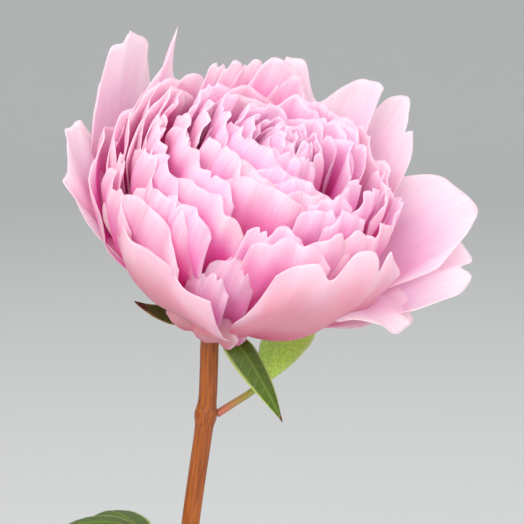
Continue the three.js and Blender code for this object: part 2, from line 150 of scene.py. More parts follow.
# Folds and smaller petals between the others, which stand for the heart: (az, r, w, lean, width), then
# any changes of its own. tone: below 0 it is a deeper pink.
FOLDS = [
    (204, 20, 85, -30, 20), (235, 38, 79, -30, 20), (270, 23, 84, -45, 22), (282, 26, 84, -35, 18),
    (238, 18, 86, -55, 22), (330, 27, 83, -25, 18), (304, 31, 82, -28, 18), (295, 35, 80, -28, 17),
    (337, 33, 82, -20, 22), (310, 37, 80, -20, 18), (274, 43, 75, -25, 20), (236, 49, 71, -18, 22),
    (187, 24, 86, -15, 22), (178, 14, 86, -35, 24), (135, 17, 87, -10, 32), (155, 18, 87, -15, 24),
    (144, 36, 83, -2, 34), (161, 35, 84, -5, 22), (139, 11, 85, -25, 22), (156, 26, 87, -5, 28),
    (86, 26, 86, -10, 26), (76, 33, 84, -5, 26), (67, 35, 84, -5, 26), (358, 44, 76, -5, 18),
    # The two folds given a tone below 0 lie in a crevice; their deeper pink is partly their own colour and
    # partly painted shade.
    (12, 38, 78, -5, 20), (30, 24, 84, 5, 30, dict(tone=-0.5)), (60, 20, 85, 0, 28, dict(tone=-0.4)),
    (50, 27, 85, 0, 32), (46, 32, 85, 0, 34), (107, 8, 85, -20, 18), (70, 5, 83, -35, 15),
    (263, 14, 86, -40, 16),
    (285, 13, 85, -35, 14), (20, 10, 85, -25, 16), (160, 6, 84, -35, 16),
    (262, 45, 59, -12, 16), (255, 47, 52, 0, 14), (268, 43, 63, -14, 16),
    (240, 30, 27, -20, 18), (270, 28, 24, -15, 18), (197, 44, 76, -10, 26), (212, 45, 74, -20, 26),
    (0, 2, 84, 0, 11), (120, 3, 86, 5, 10), (240, 3, 84, -10, 10), (300, 6, 86, -20, 13),
    (200, 5, 87, -20, 14),
    (45, 9, 86, -20, 17), (340, 7, 85, -20, 13),
]

# The sepals are smoother than the petals and have no curled lip.
SEPAL_LOOK = dict(frill=0.3, ruffle=0.4, full=1.0, lip=0)
SEPALS = [
    dict(name="sepal_left", az=196, tier=1.24, r=32, w=4, lean=70, width=13, claw=6, round=0.75,
         power=1.4),
    dict(name="sepal_back", az=96, tier=1.24, r=30, w=8, lean=60, width=17, claw=6, round=0.6,
         power=1.6),
    dict(name="sepal_right", az=20, tier=1.24, r=28, w=6, lean=60, width=15, claw=6, round=0.6,
         power=1.6),
]

# The receptacle's outline: (out from the bloom's axis, up from the seat).
RECEPTACLE_OUTLINE = [
    (3.0, -6), (4.2, -4), (5.4, -2), (6.6, 1), (7.2, 4.5), (6.6, 7.6), (4.6, 10), (2, 11.2),
]

# Leaves: the path of each stalk and blade, and the direction across each blade.
BRACT_PATH = [(24.5, -13.5, 270), (30, -18, 266), (37, -20, 255), (42, -20, 246), (45.2, -18, 238.5)]
BRACT_SIDE = (-0.75, -0.55, -0.35)
UPPER_STALK = [(20.6, -1.9, 236.6), (27, 1, 240), (33, 3.5, 243.2), (39, 6.4, 247.4)]
UPPER_BLADE = [(38, 6, 246.4), (41.5, 10, 253.2), (45.8, 14.5, 260.4), (52, 21, 266), (61, 29, 267)]
UPPER_SIDE = (0.85, -0.45, 0.1)
LOWER_FORK = (-8, -4, 189)
LOWER_STALK = [(5.4, -0.4, 174.5), (-1.2, -1.6, 181.6), (-4.4, -3, 186), LOWER_FORK]
LOWER_LEAFLETS = [
    ("middle", [(-20, -5, 193), (-34, -6, 192), (-50, -7, 182.5), (-60, -8, 172)], (0, 1, 0.05), 26),
    ("near", [(-14, -14, 190), (-24, -28, 187), (-33, -41, 178), (-38, -48, 168.5)], (0.8, -0.6, 0), 20),
    ("far", [(-14, 7, 189), (-24, 22, 187), (-32, 34, 180), (-38, 42, 171)], (0.8, 0.6, 0), 20),
]

# The vase's outline: (out from its axis, up from its foot), the outside upwards and the inside downwards.
VASE_OUTSIDE = [
    (26, 1.6), (29.5, 8), (34.2, 28), (36, 45), (31.5, 66), (21.5, 86), (14.5, 101), (12.1, 116),
    (11.8, 142), (12.8, 158), (15.0, 165.4), (14.4, 167),
]
VASE_INSIDE = [
    (13.0, 166.7), (11.9, 165.4), (9.5, 158), (8.5, 146), (8.5, 118), (10.7, 103), (17.5, 87), (27.5, 67),
    (32.6, 45), (30.6, 26), (23.5, 8), (18, 5.6),
]
VASE_UNDERSIDE = [(12.0, 0.0), (22.0, 0.0), (24.8, 0.3)]
VASE_LIP = [(13.8, 167.1)]
WELL_FLOOR = 5.6
VASE_WELL = [(9.0, WELL_FLOOR)]

# The floor is flat out to a radius, then bends up, in metres.
FLOOR_FLAT = 2.6
FLOOR_BEND = 1.6
FLOOR_STEPS = 12

CAMERA_PLACE = (0.0378, -0.4570, 0.3757)
CAMERA_TILT = math.radians(80)


def srgb(red, green, blue):
    """A colour given as 0 to 255 on a screen, as the linear values a shader takes."""
    def linear(value):
        value /= 255
        return value / 12.92 if value <= 0.04045 else ((value + 0.055) / 1.055) ** 2.4
    return (linear(red), linear(green), linear(blue), 1.0)


# ---- shader node groups ----

def new_group(name, inputs, outputs):
    """An empty shader group with its sockets; returns (group, nodes, links, input node, output node)."""
    group = bpy.data.node_groups.new(name, "ShaderNodeTree")
    for label, kind, value in inputs:
        socket = group.interface.new_socket(label, in_out="INPUT", socket_type=kind)
        socket.default_value = value
    for label, kind in outputs:
        group.interface.new_socket(label, in_out="OUTPUT", socket_type=kind)
    start = group.nodes.new("NodeGroupInput")
    end = group.nodes.new("NodeGroupOutput")
    return group, group.nodes, group.links, start, end


def math_node(nodes, links, operation, first, second=None, third=None, clamp=False):
    """A Math node fed by sockets or plain numbers; returns its output."""
    node = nodes.new("ShaderNodeMath")
    node.operation = operation
    node.use_clamp = clamp
    for slot, value in enumerate((first, second, third)):
        if value is None:
            continue
        if isinstance(value, (int, float)):
            node.inputs[slot].default_value = value
        else:
            links.new(value, node.inputs[slot])
    return node.outputs[0]


def mix_color(nodes, links, factor, first, second, blend="MIX"):
    """A Mix node for colours; returns its result socket."""
    node = nodes.new("ShaderNodeMix")
    node.data_type = "RGBA"
    node.blend_type = blend
    for socket, value in ((node.inputs[0], factor), (node.inputs[6], first), (node.inputs[7], second)):
        if isinstance(value, (int, float, tuple)):
            socket.default_value = value
        else:
            links.new(value, socket)
    return node.outputs[2]


def smooth_range(nodes, links, value, low, high, to_low=0.0, to_high=1.0):
    """A Map Range node with a smooth step; returns its result."""
    node = nodes.new("ShaderNodeMapRange")
    node.interpolation_type = "SMOOTHSTEP"
    links.new(value, node.inputs["Value"])
    for label, number in (("From Min", low), ("From Max", high), ("To Min", to_low), ("To Max", to_high)):
        node.inputs[label].default_value = number
    return node.outputs["Result"]


def attribute(nodes, name, output="Fac"):
    """A piece's own painted value, read by name."""
    node = nodes.new("ShaderNodeAttribute")
    node.attribute_name = name
    return node.outputs[output]


def stretched_noise(nodes, links, vector, scale, size, detail=3.0, roughness=0.5):
    """Noise drawn out along one direction; returns its value socket."""
    mapping = nodes.new("ShaderNodeMapping")
    mapping.inputs["Scale"].default_value = scale
    links.new(vector, mapping.inputs["Vector"])
    noise = nodes.new("ShaderNodeTexNoise")
    noise.inputs["Scale"].default_value = size
    noise.inputs["Detail"].default_value = detail
    noise.inputs["Roughness"].default_value = roughness
    links.new(mapping.outputs["Vector"], noise.inputs["Vector"])
    return noise.outputs["Fac"]


def petal_blush_group():
    """The colour of a petal: deep at its foot, partly the petal's own deep pink and partly painted shade of
    the crevices it lies in, pale on the blade, near white at the edge, finely veined.
    """
    group, nodes, links, start, end = new_group(
        "petal blush",
        [
            ("Edge Colour", "NodeSocketColor", srgb(250, 228, 232)),
            ("Blade Colour", "NodeSocketColor", srgb(240, 170, 205)),
            # the foot colour is partly the petal's own deep pink and partly painted shade of the bloom's
            # crevices
            ("Deep Foot And Crevice Shade Colour", "NodeSocketColor", srgb(225, 60, 130)),
            ("Back Colour", "NodeSocketColor", srgb(245, 200, 205)),
            ("Deep Foot And Crevice Shade Reach", "NodeSocketFloat", 0.5),
            ("Vein Strength", "NodeSocketFloat", 0.25),
        ],
        [("Colour", "NodeSocketColor"), ("Height", "NodeSocketFloat")],
    )
    along = attribute(nodes, "along")
    edge = attribute(nodes, "edge")
    tone = attribute(nodes, "tone")
    inside = attribute(nodes, "inside")
    grain = attribute(nodes, "grain", "Vector")

    veins = stretched_noise(nodes, links, grain, (1.0, 0.03, 1.0), 2.3, 3.0, 0.55)
    veins = smooth_range(nodes, links, veins, 0.36, 0.66)
    mottle = stretched_noise(nodes, links, grain, (0.11, 0.05, 1.0), 1.0, 2.0, 0.5)

    blade = mix_color(nodes, links, inside, start.outputs["Back Colour"], start.outputs["Blade Colour"])
    # the foot colour, partly painted crevice shade, fades out along the petal by its reach
    deep_foot_and_shade_fade = math_node(nodes, links, "DIVIDE", along, start.outputs["Deep Foot And Crevice Shade Reach"], clamp=True)
    deep_foot_and_shade_fade = math_node(nodes, links, "POWER", deep_foot_and_shade_fade, 1.3)
    shade = math_node(nodes, links, "MULTIPLY_ADD", mottle, 0.5, -0.25)
    shade = math_node(nodes, links, "ADD", shade, tone)
    deep_foot_and_shade_fade = math_node(nodes, links, "ADD", deep_foot_and_shade_fade, shade, clamp=True)
    colour = mix_color(nodes, links, deep_foot_and_shade_fade, start.outputs["Deep Foot And Crevice Shade Colour"], blade)

    pale = smooth_range(nodes, links, edge, 0.6, 1.0)
    pale = math_node(nodes, links, "MULTIPLY_ADD", mottle, 0.3, pale)
    pale = math_node(nodes, links, "SUBTRACT", pale, 0.15, clamp=True)
    colour = mix_color(nodes, links, pale, colour, start.outputs["Edge Colour"])

    vein_mask = math_node(nodes, links, "MULTIPLY", veins, start.outputs["Vein Strength"])
    colour = mix_color(nodes, links, vein_mask, colour, start.outputs["Deep Foot And Crevice Shade Colour"])
    links.new(colour, end.inputs["Colour"])
    links.new(veins, end.inputs["Height"])
    return group


def leaf_veins_group():
    """A leaf's net of veins and its change of colour towards margin and tip."""
    group, nodes, links, start, end = new_group(
        "leaf veins",
        [
            ("Blade Colour", "NodeSocketColor", srgb(70, 110, 30)),
            ("Vein Colour", "NodeSocketColor", srgb(140, 170, 80)),
            ("Margin Colour", "NodeSocketColor", srgb(170, 190, 90)),
            ("Tip Colour", "NodeSocketColor", srgb(110, 60, 30)),
            ("Tip Start", "NodeSocketFloat", 0.9),
        ],
        [("Colour", "NodeSocketColor"), ("Height", "NodeSocketFloat")],
    )
    along = attribute(nodes, "along")
    edge = attribute(nodes, "edge")
    grain = attribute(nodes, "grain", "Vector")
    split = nodes.new("ShaderNodeSeparateXYZ")
    links.new(grain, split.inputs[0])
    across = math_node(nodes, links, "ABSOLUTE", split.outputs["X"])
    slant = math_node(nodes, links, "MULTIPLY_ADD", across, -0.75, split.outputs["Y"])
    ribs = math_node(nodes, links, "MULTIPLY", slant, 1.35)
    ribs = math_node(nodes, links, "SINE", ribs)
    ribs = smooth_range(nodes, links, ribs, 0.86, 1.0)
    midrib = smooth_range(nodes, links, across, 0.25, 0.8, 1.0, 0.0)
    veins = math_node(nodes, links, "MULTIPLY", ribs, 0.6)
    veins = math_node(nodes, links, "MAXIMUM", veins, midrib)
    net = stretched_noise(nodes, links, grain, (1.0, 1.0, 1.0), 0.9, 4.0, 0.6)
    net = smooth_range(nodes, links, net, 0.4, 0.6)
    shade = math_node(nodes, links, "MULTIPLY", net, 0.22)
    colour = mix_color(nodes, links, shade, start.outputs["Blade Colour"], (0.01, 0.03, 0.004, 1.0))
    vein_mask = math_node(nodes, links, "MULTIPLY", veins, 0.35)
    colour = mix_color(nodes, links, vein_mask, colour, start.outputs["Vein Colour"])
    margin = smooth_range(nodes, links, edge, 0.78, 1.0)
    colour = mix_color(nodes, links, margin, colour, start.outputs["Margin Colour"])
    past = math_node(nodes, links, "SUBTRACT", along, start.outputs["Tip Start"])
    browned = math_node(nodes, links, "MULTIPLY_ADD", net, 0.06, past)
    browned = smooth_range(nodes, links, browned, 0.0, 0.07)
    colour = mix_color(nodes, links, browned, colour, start.outputs["Tip Colour"])
    height = math_node(nodes, links, "MULTIPLY_ADD", net, -0.25, veins)
    links.new(colour, end.inputs["Colour"])
    links.new(height, end.inputs["Height"])
    return group


PETAL_BLUSH = petal_blush_group()
LEAF_VEINS = leaf_veins_group()


def new_material(name):
    """A material with a Principled shader; returns (material, nodes, links, shader, output)."""
    material = bpy.data.materials.new(name)
    material.use_nodes = True
    nodes = material.node_tree.nodes
    return material, nodes, material.node_tree.links, nodes["Principled BSDF"], nodes["Material Output"]


def place_group(nodes, group, values):
    """The node group in a material, with its own values."""
    node = nodes.new("ShaderNodeGroup")
    node.node_tree = group
    for label, value in values.items():
        node.inputs[label].default_value = value
    return node


def add_bump(nodes, links, shader, height, distance, strength=1.0):
    """A Bump node between a height and the shader's normal."""
    bump = nodes.new("ShaderNodeBump")
    bump.inputs["Strength"].default_value = strength
    bump.inputs["Distance"].default_value = distance
    links.new(height, bump.inputs["Height"])
    links.new(bump.outputs["Normal"], shader.inputs["Normal"])
    return bump


def let_light_through(nodes, links, shader, output, colour, share):
    """Thin tissue: part of the light passes through and glows on the far side."""
    glow = nodes.new("ShaderNodeBsdfTranslucent")
    links.new(colour, glow.inputs["Color"])
    both = nodes.new("ShaderNodeMixShader")
    both.inputs[0].default_value = share
    links.new(shader.outputs[0], both.inputs[1])
    links.new(glow.outputs[0], both.inputs[2])
    links.new(both.outputs[0], output.inputs["Surface"])


def petal_material(name, values, share=0.7):
    """Silky petal tissue."""
    material, nodes, links, shader, output = new_material(name)
    blush = place_group(nodes, PETAL_BLUSH, values)
    links.new(blush.outputs["Colour"], shader.inputs["Base Color"])
    shader.inputs["Roughness"].default_value = 0.55
    shader.inputs["Specular IOR Level"].default_value = 0.3
    shader.inputs["Sheen Weight"].default_value = 0.05
    shader.inputs["Sheen Roughness"].default_value = 0.4
    add_bump(nodes, links, shader, blush.outputs["Height"], 0.00012, 0.5)
    let_light_through(nodes, links, shader, output, blush.outputs["Colour"], share)
    return material


def leaf_material(name, values, roughness, share=0.25):
    """Leaf tissue with a waxy face."""
    material, nodes, links, shader, output = new_material(name)
    veins = place_group(nodes, LEAF_VEINS, values)
    links.new(veins.outputs["Colour"], shader.inputs["Base Color"])
    shader.inputs["Roughness"].default_value = roughness
    shader.inputs["Specular IOR Level"].default_value = 0.4
    add_bump(nodes, links, shader, veins.outputs["Height"], 0.00025, 0.6)
    let_light_through(nodes, links, shader, output, veins.outputs["Colour"], share)
    return material


def stem_material(name, shade, light, lower):
    """Stem skin with fine lighter streaks along it, another colour towards its lower end; the streaks mix a
    shaded and a lit tone of the skin, partly real streaks and partly painted shade and painted highlight.
    """
    material, nodes, links, shader, _ = new_material(name)
    grain = attribute(nodes, "grain", "Vector")
    along = attribute(nodes, "along")
    streaks = stretched_noise(nodes, links, grain, (1.0, 0.03, 1.0), 2.2, 4.0, 0.6)
    streaks = smooth_range(nodes, links, streaks, 0.3, 0.75)
    specks = stretched_noise(nodes, links, grain, (1.0, 0.35, 1.0), 3.5, 2.0, 0.5)
    specks = smooth_range(nodes, links, specks, 0.62, 0.74)
    # the streaks blend the skin's shaded tone into its lit tone: painted shade and painted highlight laid out
    # as streaks
    colour = mix_color(nodes, links, streaks, srgb(*shade), srgb(*light))
    pale = smooth_range(nodes, links, along, 0.5, 0.0)
    colour = mix_color(nodes, links, pale, colour, srgb(*lower))
    speck_mask = math_node(nodes, links, "MULTIPLY", specks, 0.3)
    colour = mix_color(nodes, links, speck_mask, colour, srgb(96, 34, 16))
    links.new(colour, shader.inputs["Base Color"])
    shader.inputs["Roughness"].default_value = 0.4
    shader.inputs["Subsurface Weight"].default_value = 0.08
    shader.inputs["Subsurface Radius"].default_value = (0.002, 0.001, 0.0005)
    add_bump(nodes, links, shader, streaks, 0.00012, 0.4)
    return material


def glaze_material():
    """Off-white stoneware glaze, iron-specked, thin over the throwing rings, with a bare clay foot."""
    material, nodes, links, shader, _ = new_material("stoneware glaze")
    place = nodes.new("ShaderNodeTexCoord").outputs["Object"]
    split = nodes.new("ShaderNodeSeparateXYZ")
    links.new(place, split.inputs[0])
    height = split.outputs["Z"]
    cloud = stretched_noise(nodes, links, place, (1, 1, 1), 28.0, 4.0, 0.55)
    specks = stretched_noise(nodes, links, place, (1, 1, 1), 520.0, 2.0, 0.5)
    specks = smooth_range(nodes, links, specks, 0.69, 0.74)
    rings = stretched_noise(nodes, links, place, (0.6, 0.6, 30.0), 10.0, 2.0, 0.5)
    colour = mix_color(nodes, links, cloud, srgb(214, 207, 190), srgb(240, 236, 224))
    thin = smooth_range(nodes, links, rings, 0.56, 0.75, 0.0, 0.35)
    colour = mix_color(nodes, links, thin, colour, srgb(196, 178, 148))
    speck_mask = math_node(nodes, links, "MULTIPLY", specks, 0.75)
    colour = mix_color(nodes, links, speck_mask, colour, srgb(96, 70, 48))
    wobble = math_node(nodes, links, "MULTIPLY_ADD", cloud, 0.003, height)
    glazed = smooth_range(nodes, links, wobble, 0.0048, 0.0056)
    colour = mix_color(nodes, links, glazed, srgb(176, 142, 108), colour)
    links.new(colour, shader.inputs["Base Color"])
    gloss = smooth_range(nodes, links, glazed, 0.0, 1.0, 0.85, 0.24)
    gloss = math_node(nodes, links, "MULTIPLY_ADD", cloud, 0.12, gloss)
    links.new(gloss, shader.inputs["Roughness"])
    coat = math_node(nodes, links, "MULTIPLY", glazed, 0.35)
    links.new(coat, shader.inputs["Coat Weight"])
    shader.inputs["Coat Roughness"].default_value = 0.12
    relief = math_node(nodes, links, "MULTIPLY_ADD", cloud, 0.4, rings)
    add_bump(nodes, links, shader, relief, 0.0006, 0.35)
    return material


# Each finish's foot colour and reach are partly the petal's own deep pink and partly painted shade of the
# crevices inside the bloom; on the inner petals it reaches nearly to the tip.
GUARD_FINISH = petal_material("guard petal silk", {
    "Edge Colour": srgb(253, 241, 246), "Blade Colour": srgb(244, 219, 247),
    "Deep Foot And Crevice Shade Colour": srgb(252, 128, 184), "Back Colour": srgb(255, 214, 216),
    "Deep Foot And Crevice Shade Reach": 0.55, "Vein Strength": 0.08,
})
INNER_FINISH = petal_material("inner petal silk", {
    "Edge Colour": srgb(254, 241, 245), "Blade Colour": srgb(253, 192, 238),
    "Deep Foot And Crevice Shade Colour": srgb(252, 36, 196), "Back Colour": srgb(254, 206, 234),
    "Deep Foot And Crevice Shade Reach": 0.95, "Vein Strength": 0.09,
})
HEART_FINISH = petal_material("heart petal silk", {
    "Edge Colour": srgb(254, 241, 248), "Blade Colour": srgb(253, 188, 238),
    "Deep Foot And Crevice Shade Colour": srgb(250, 44, 202), "Back Colour": srgb(254, 204, 236),
    "Deep Foot And Crevice Shade Reach": 0.85, "Vein Strength": 0.1,
})
DARK_LEAF = leaf_material("mature leaf", {
    "Blade Colour": srgb(84, 110, 14), "Vein Colour": srgb(140, 162, 66),
    "Margin Colour": srgb(196, 208, 116), "Tip Colour": srgb(104, 50, 26), "Tip Start": 0.93,
}, 0.4)
# A bright yellow green, partly the leaf's own pale colour and partly painted light that lifts the leaf lying
# in the bloom's shade.
PAINTED_LIGHT_LEAF = leaf_material("pale leaf with painted light", {
    "Blade Colour": srgb(206, 236, 112), "Vein Colour": srgb(212, 232, 150),
    "Margin Colour": srgb(200, 215, 140), "Tip Colour": srgb(150, 110, 60), "Tip Start": 0.97,
}, 0.45, 0.35)
SEPAL_FINISH = leaf_material("sepal", {
    "Blade Colour": srgb(84, 98, 40), "Vein Colour": srgb(130, 140, 70),
    "Margin Colour": srgb(150, 120, 70), "Tip Colour": srgb(96, 48, 26), "Tip Start": 0.8,
}, 0.5)
# the two streak tones are the skin's shaded side and its lit side, painted into its colour
STEM_FINISH = stem_material("peony stem skin", (104, 44, 2), (176, 92, 10), (112, 104, 34))
LEAF_STALK_FINISH = stem_material("leaf stalk skin", (120, 132, 44), (158, 160, 66), (176, 96, 74))
GLAZE_FINISH = glaze_material()


# ---- meshes ----

def to_world(points):
    """Points in the bloom's own frame, in the part's frame."""
    return points @ BLOOM_TURN.T + BLOOM_SEAT


def sheet_normals(grid):
    """A unit normal for each point of a grid of points."""
    along = np.gradient(grid, axis=0)
    across = np.gradient(grid, axis=1)
    normal = np.cross(along, across)
    return normal / np.maximum(np.linalg.norm(normal, axis=-1, keepdims=True), 1e-9)


def add_piece(name, points, faces, material, replaced, painted):
    """A mesh piece in millimetres with its painted values, declared to the frame."""
    mesh = bpy.data.meshes.new(name)
    mesh.from_pydata((points * MM).tolist(), [], faces)
    mesh.validate()
    for label, values in painted.items():
        if values.ndim == 1:
            layer = mesh.attributes.new(label, "FLOAT", "POINT")
            layer.data.foreach_set("value", values.astype(np.float32))
        else:
            layer = mesh.attributes.new(label, "FLOAT_VECTOR", "POINT")
            layer.data.foreach_set("vector", values.astype(np.float32).ravel())
    mesh.shade_smooth()
    mesh.materials.append(material)
    piece = bpy.data.objects.new(name, mesh)
    bpy.context.scene.collection.objects.link(piece)
    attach(piece, BODY)
    for node in replaced:
        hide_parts(node)


def add_sheet(name, grid, thickness, material, replaced, along, edge, grain, tone=0.0):
    """A thin closed sheet over a grid of points; its first side is the inside of the petal or leaf."""
    rows, cols = grid.shape[:2]
    half = sheet_normals(grid) * thickness[..., None] / 2
    points = np.concatenate([(grid - half).reshape(-1, 3), (grid + half).reshape(-1, 3)])
    count = rows * cols
    index = np.arange(count).reshape(rows, cols)
    quads = np.stack([index[:-1, :-1], index[:-1, 1:], index[1:, 1:], index[1:, :-1]], -1)
    quads = quads.reshape(-1, 4)
    border = np.concatenate([index[0, :], index[1:, -1], index[-1, -2::-1], index[-2:0:-1, 0]])
    after = np.roll(border, -1)
    rim = np.stack([border, border + count, after + count, after], -1)
    faces = np.concatenate([quads, quads[:, ::-1] + count, rim]).tolist()
    painted = {
        "along": np.tile(along.ravel(), 2),
        "edge": np.tile(edge.ravel(), 2),
        "inside": np.repeat([0.0, 1.0], count),
        "tone": np.full(2 * count, float(tone)),
        "grain": np.tile(grain.reshape(-1, 3), (2, 1)),
    }
    add_piece(name, points, faces, material, replaced, painted)


def smoothstep(low, high, value):
    """0 below low, 1 above high, smooth between."""
    t = np.clip((value - low) / (high - low), 0, 1)
    return t * t * (3 - 2 * t)


def petal_profile(petal):
    """The petal's midrib as four control points (out, up), with its length."""
    psi = math.radians(12 + 86 * petal.get("tier", 1.0))
    spring = math.radians(petal["spring"]) if "spring" in petal else psi
    lean = math.radians(petal["lean"])
    foot = np.array([DOME_RADIUS * math.sin(psi) - FOOT_SUNK, DOME_FOOT + DOME_RISE * math.cos(psi)])
    tip = np.array([petal["r"], petal["w"]], float)
    reach = float(np.linalg.norm(tip - foot))
    rise = reach * petal.get("rise", 0.42)
    fall = reach * petal.get("fall", 0.38)
    profile = [
        foot,
        foot + rise * np.array([math.sin(spring), math.cos(spring)]),
        tip - fall * np.array([math.sin(lean), math.cos(lean)]),
        tip,
    ]
    return profile, reach


def far_edge(petal, v, draw):
    """How far the petal reaches at each place v across it: an arch with notches, waves and small nicks."""
    arch = petal.get("round", 0.28) * np.abs(v) ** petal.get("power", 2.3)
    outline = 1 + petal.get("slant", 0) * v - arch
    for where, depth, spread in petal.get("notches", []):
        outline = outline - depth * np.exp(-((v - where) / spread) ** 2)
    frill = petal.get("frill", 1.0)
    for waves, height in ((3.0, 0.012), (5.5, 0.008), (10.0, 0.003)):
        outline = outline + frill * height * np.sin(waves * math.pi * v * 0.5 + draw.uniform(0, 6.28))
    for _ in range(int(draw.integers(0, 3))):
        where = draw.uniform(-0.6, 0.6)
        depth = draw.uniform(0.02, 0.07)
        spread = draw.uniform(0.05, 0.11)
        outline = outline - frill * depth * np.exp(-((v - where) / spread) ** 2)
    return outline


def folds_and_ruffles(petal, u, v, draw):
    """How far the blade lifts along its own normal: a wavy margin, soft flutes, a crease and a curled lip."""
    size = min(1.0, petal["width"] / 30)
    ruffle = petal.get("ruffle", 1.0) * size
    phase = draw.uniform(0, 6.28, 8)
    margin = smoothstep(0.62, 1.0, u) ** 1.4
    flank = np.abs(v) ** 3 * smoothstep(0.3, 0.9, u)
    lift = 1.2 * ruffle * margin * np.sin(2.6 * math.pi * v + phase[0])
    lift = lift + 0.3 * ruffle * margin ** 2 * np.sin(6.3 * math.pi * v + phase[1])
    lift = lift + 1.0 * ruffle * flank * np.sin(4.5 * math.pi * u + phase[2] + v)
    belly = np.sin(math.pi * np.clip(u, 0, 1)) ** 0.7
    lift = lift + 0.9 * size * belly * np.sin(2.3 * math.pi * v + phase[3])
    lift = lift + 0.1 * size * belly * np.sin(8 * math.pi * v + phase[4]) * (0.4 + 0.6 * u)
    lift = lift - 0.5 * size * np.exp(-(v / 0.07) ** 2) * belly
    outer = np.maximum(u, np.abs(v) * smoothstep(0.4, 0.8, u))
    return lift + petal.get("lip", 0.8) * size * smoothstep(0.86, 1.0, outer) ** 2


def petal_surface(petal, rows, cols, seed):
    """Points over one petal in the bloom's frame, with how far along, how near the edge, and its grain."""
    draw = np.random.default_rng(seed)
    profile, reach = petal_profile(petal)
    lean = math.radians(petal["lean"])
    u = np.linspace(0, 1, rows + 1)[:, None] ** 0.9
    v = np.linspace(-1, 1, cols + 1)[None, :]
    v = np.sign(v) * (1 - (1 - np.abs(v)) ** 1.25)
    run = u * far_edge(petal, v, draw)
    s = np.clip(run, 0, 1)
    after = np.maximum(run - 1, 0) * reach

    def bezier(k):
        return ((1 - s) ** 3 * profile[0][k] + 3 * (1 - s) ** 2 * s * profile[1][k]
                + 3 * (1 - s) * s * s * profile[2][k] + s ** 3 * profile[3][k])

    out = bezier(0) + after * math.sin(lean)
    up = bezier(1) + after * math.cos(lean)

    # across: narrow at the claw, widest above the middle, bent round a hollow
    width = petal["width"] * petal.get("full", PETAL_FULLNESS)
    claw = petal.get("claw", 6.0) / width
    opened = np.sin(math.pi / 2 * np.minimum(s / PETAL_WIDEST, 1))
    spread = claw + (1 - claw) * opened ** petal.get("swell", 1.7)
    past = np.clip((s - PETAL_WIDEST) / (1 - PETAL_WIDEST), 0, None)
    spread = spread * (1 - PETAL_TAPER * past ** 2)
    cup = (1 + (petal.get("cup", 1.0) - 1) * s) / np.maximum(out, petal.get("flat", 10.0))
    arc = v * (width / 2 * spread)
    x = out - (1 - np.cos(cup * arc)) / cup
    y = np.sin(cup * arc) / cup

    # the twist about the midrib
    turned = math.radians(petal.get("roll", 0)) * s ** 1.5
    rising = np.gradient(up, axis=0)
    slope = rising / np.maximum(np.hypot(np.gradient(out, axis=0), rising), 1e-6)
    x = x + y * np.sin(turned) * slope
    up = up - y * np.sin(turned) * np.sqrt(np.maximum(1 - slope ** 2, 0))
    y = y * np.cos(turned)

    az = math.radians(petal["az"])
    grid = np.stack([x * np.cos(az) - y * np.sin(az), x * np.sin(az) + y * np.cos(az), up + 0 * v], -1)
    grid = grid + sheet_normals(grid) * folds_and_ruffles(petal, u, v, draw)[..., None]

    edge = np.maximum(u ** 1.5, np.abs(v) ** 2.5 * smoothstep(0.15, 0.7, u))
    grain = np.stack([arc + 0 * u, s * reach, np.full_like(s, seed * 3.7)], -1)
    return grid, s, edge, grain


def make_petal(name, petal, seed, size, material, replaced, tone):
    """One petal of the bloom, thinner towards its edge."""
    grid, along, edge, grain = petal_surface(petal, *size, seed)
    thickness = PETAL_SKIN * (1.5 - 0.8 * edge)
    add_sheet(name, to_world(grid), thickness, material, replaced, along, edge, grain,
              petal.get("tone", tone))


def inner_petal(az, r, w, lean, width, changes=None):
    """An inner petal grows higher on the receptacle the nearer its tip is to the axis."""
    from_axis = math.degrees(math.atan2(r, w - 22))
    fall = 0.36 - 0.16 * min(1, max(0, -lean) / 30)
    arch = 0.4 * width / math.hypot(r, w - 8)
    petal = dict(az=az, r=r, w=w, lean=lean, width=width, tier=0.08 + 0.85 * from_axis / 75, fall=fall,
                 round=arch, power=2.2, swell=1.3)
    petal.update(changes or {})
    return petal


def make_bloom():
    """Every petal: the guard petals, the inner petals and the folds crowded round the heart."""
    seed = 100
    draw = np.random.default_rng(7)
    for petal in GUARD_PETALS:
        seed += 1
        node = "petal_" + petal["name"]
        make_petal(node.replace("_", "."), petal, seed, GUARD_GRID, GUARD_FINISH, [node],
                   0.0)
    for side, rows in INNER_PETALS.items():
        for k, row in enumerate(rows):
            seed += 1
            node = f"petal_{side}_{k + 1:02d}"
            make_petal(node.replace("_", "."), inner_petal(*row), seed, INNER_GRID, INNER_FINISH,
                       [node], draw.uniform(-0.24, 0.2))
    for k, row in enumerate(FOLDS):
        seed += 1
        make_petal(f"heart.petal.{k + 1:02d}", inner_petal(*row), seed, HEART_GRID, HEART_FINISH,
                   ["heart"], draw.uniform(-0.26, 0.14))


def make_sepals():
    """The green sepals under the bloom."""
    for k, sepal in enumerate(SEPALS):
        grid, along, edge, grain = petal_surface(dict(sepal, **SEPAL_LOOK), *SEPAL_GRID, 900 + k)
        thickness = np.full(grid.shape[:2], LEAF_SKIN)
        add_sheet(sepal["name"].replace("_", "."), to_world(grid), thickness, SEPAL_FINISH,
                  [sepal["name"]], along, edge, grain)


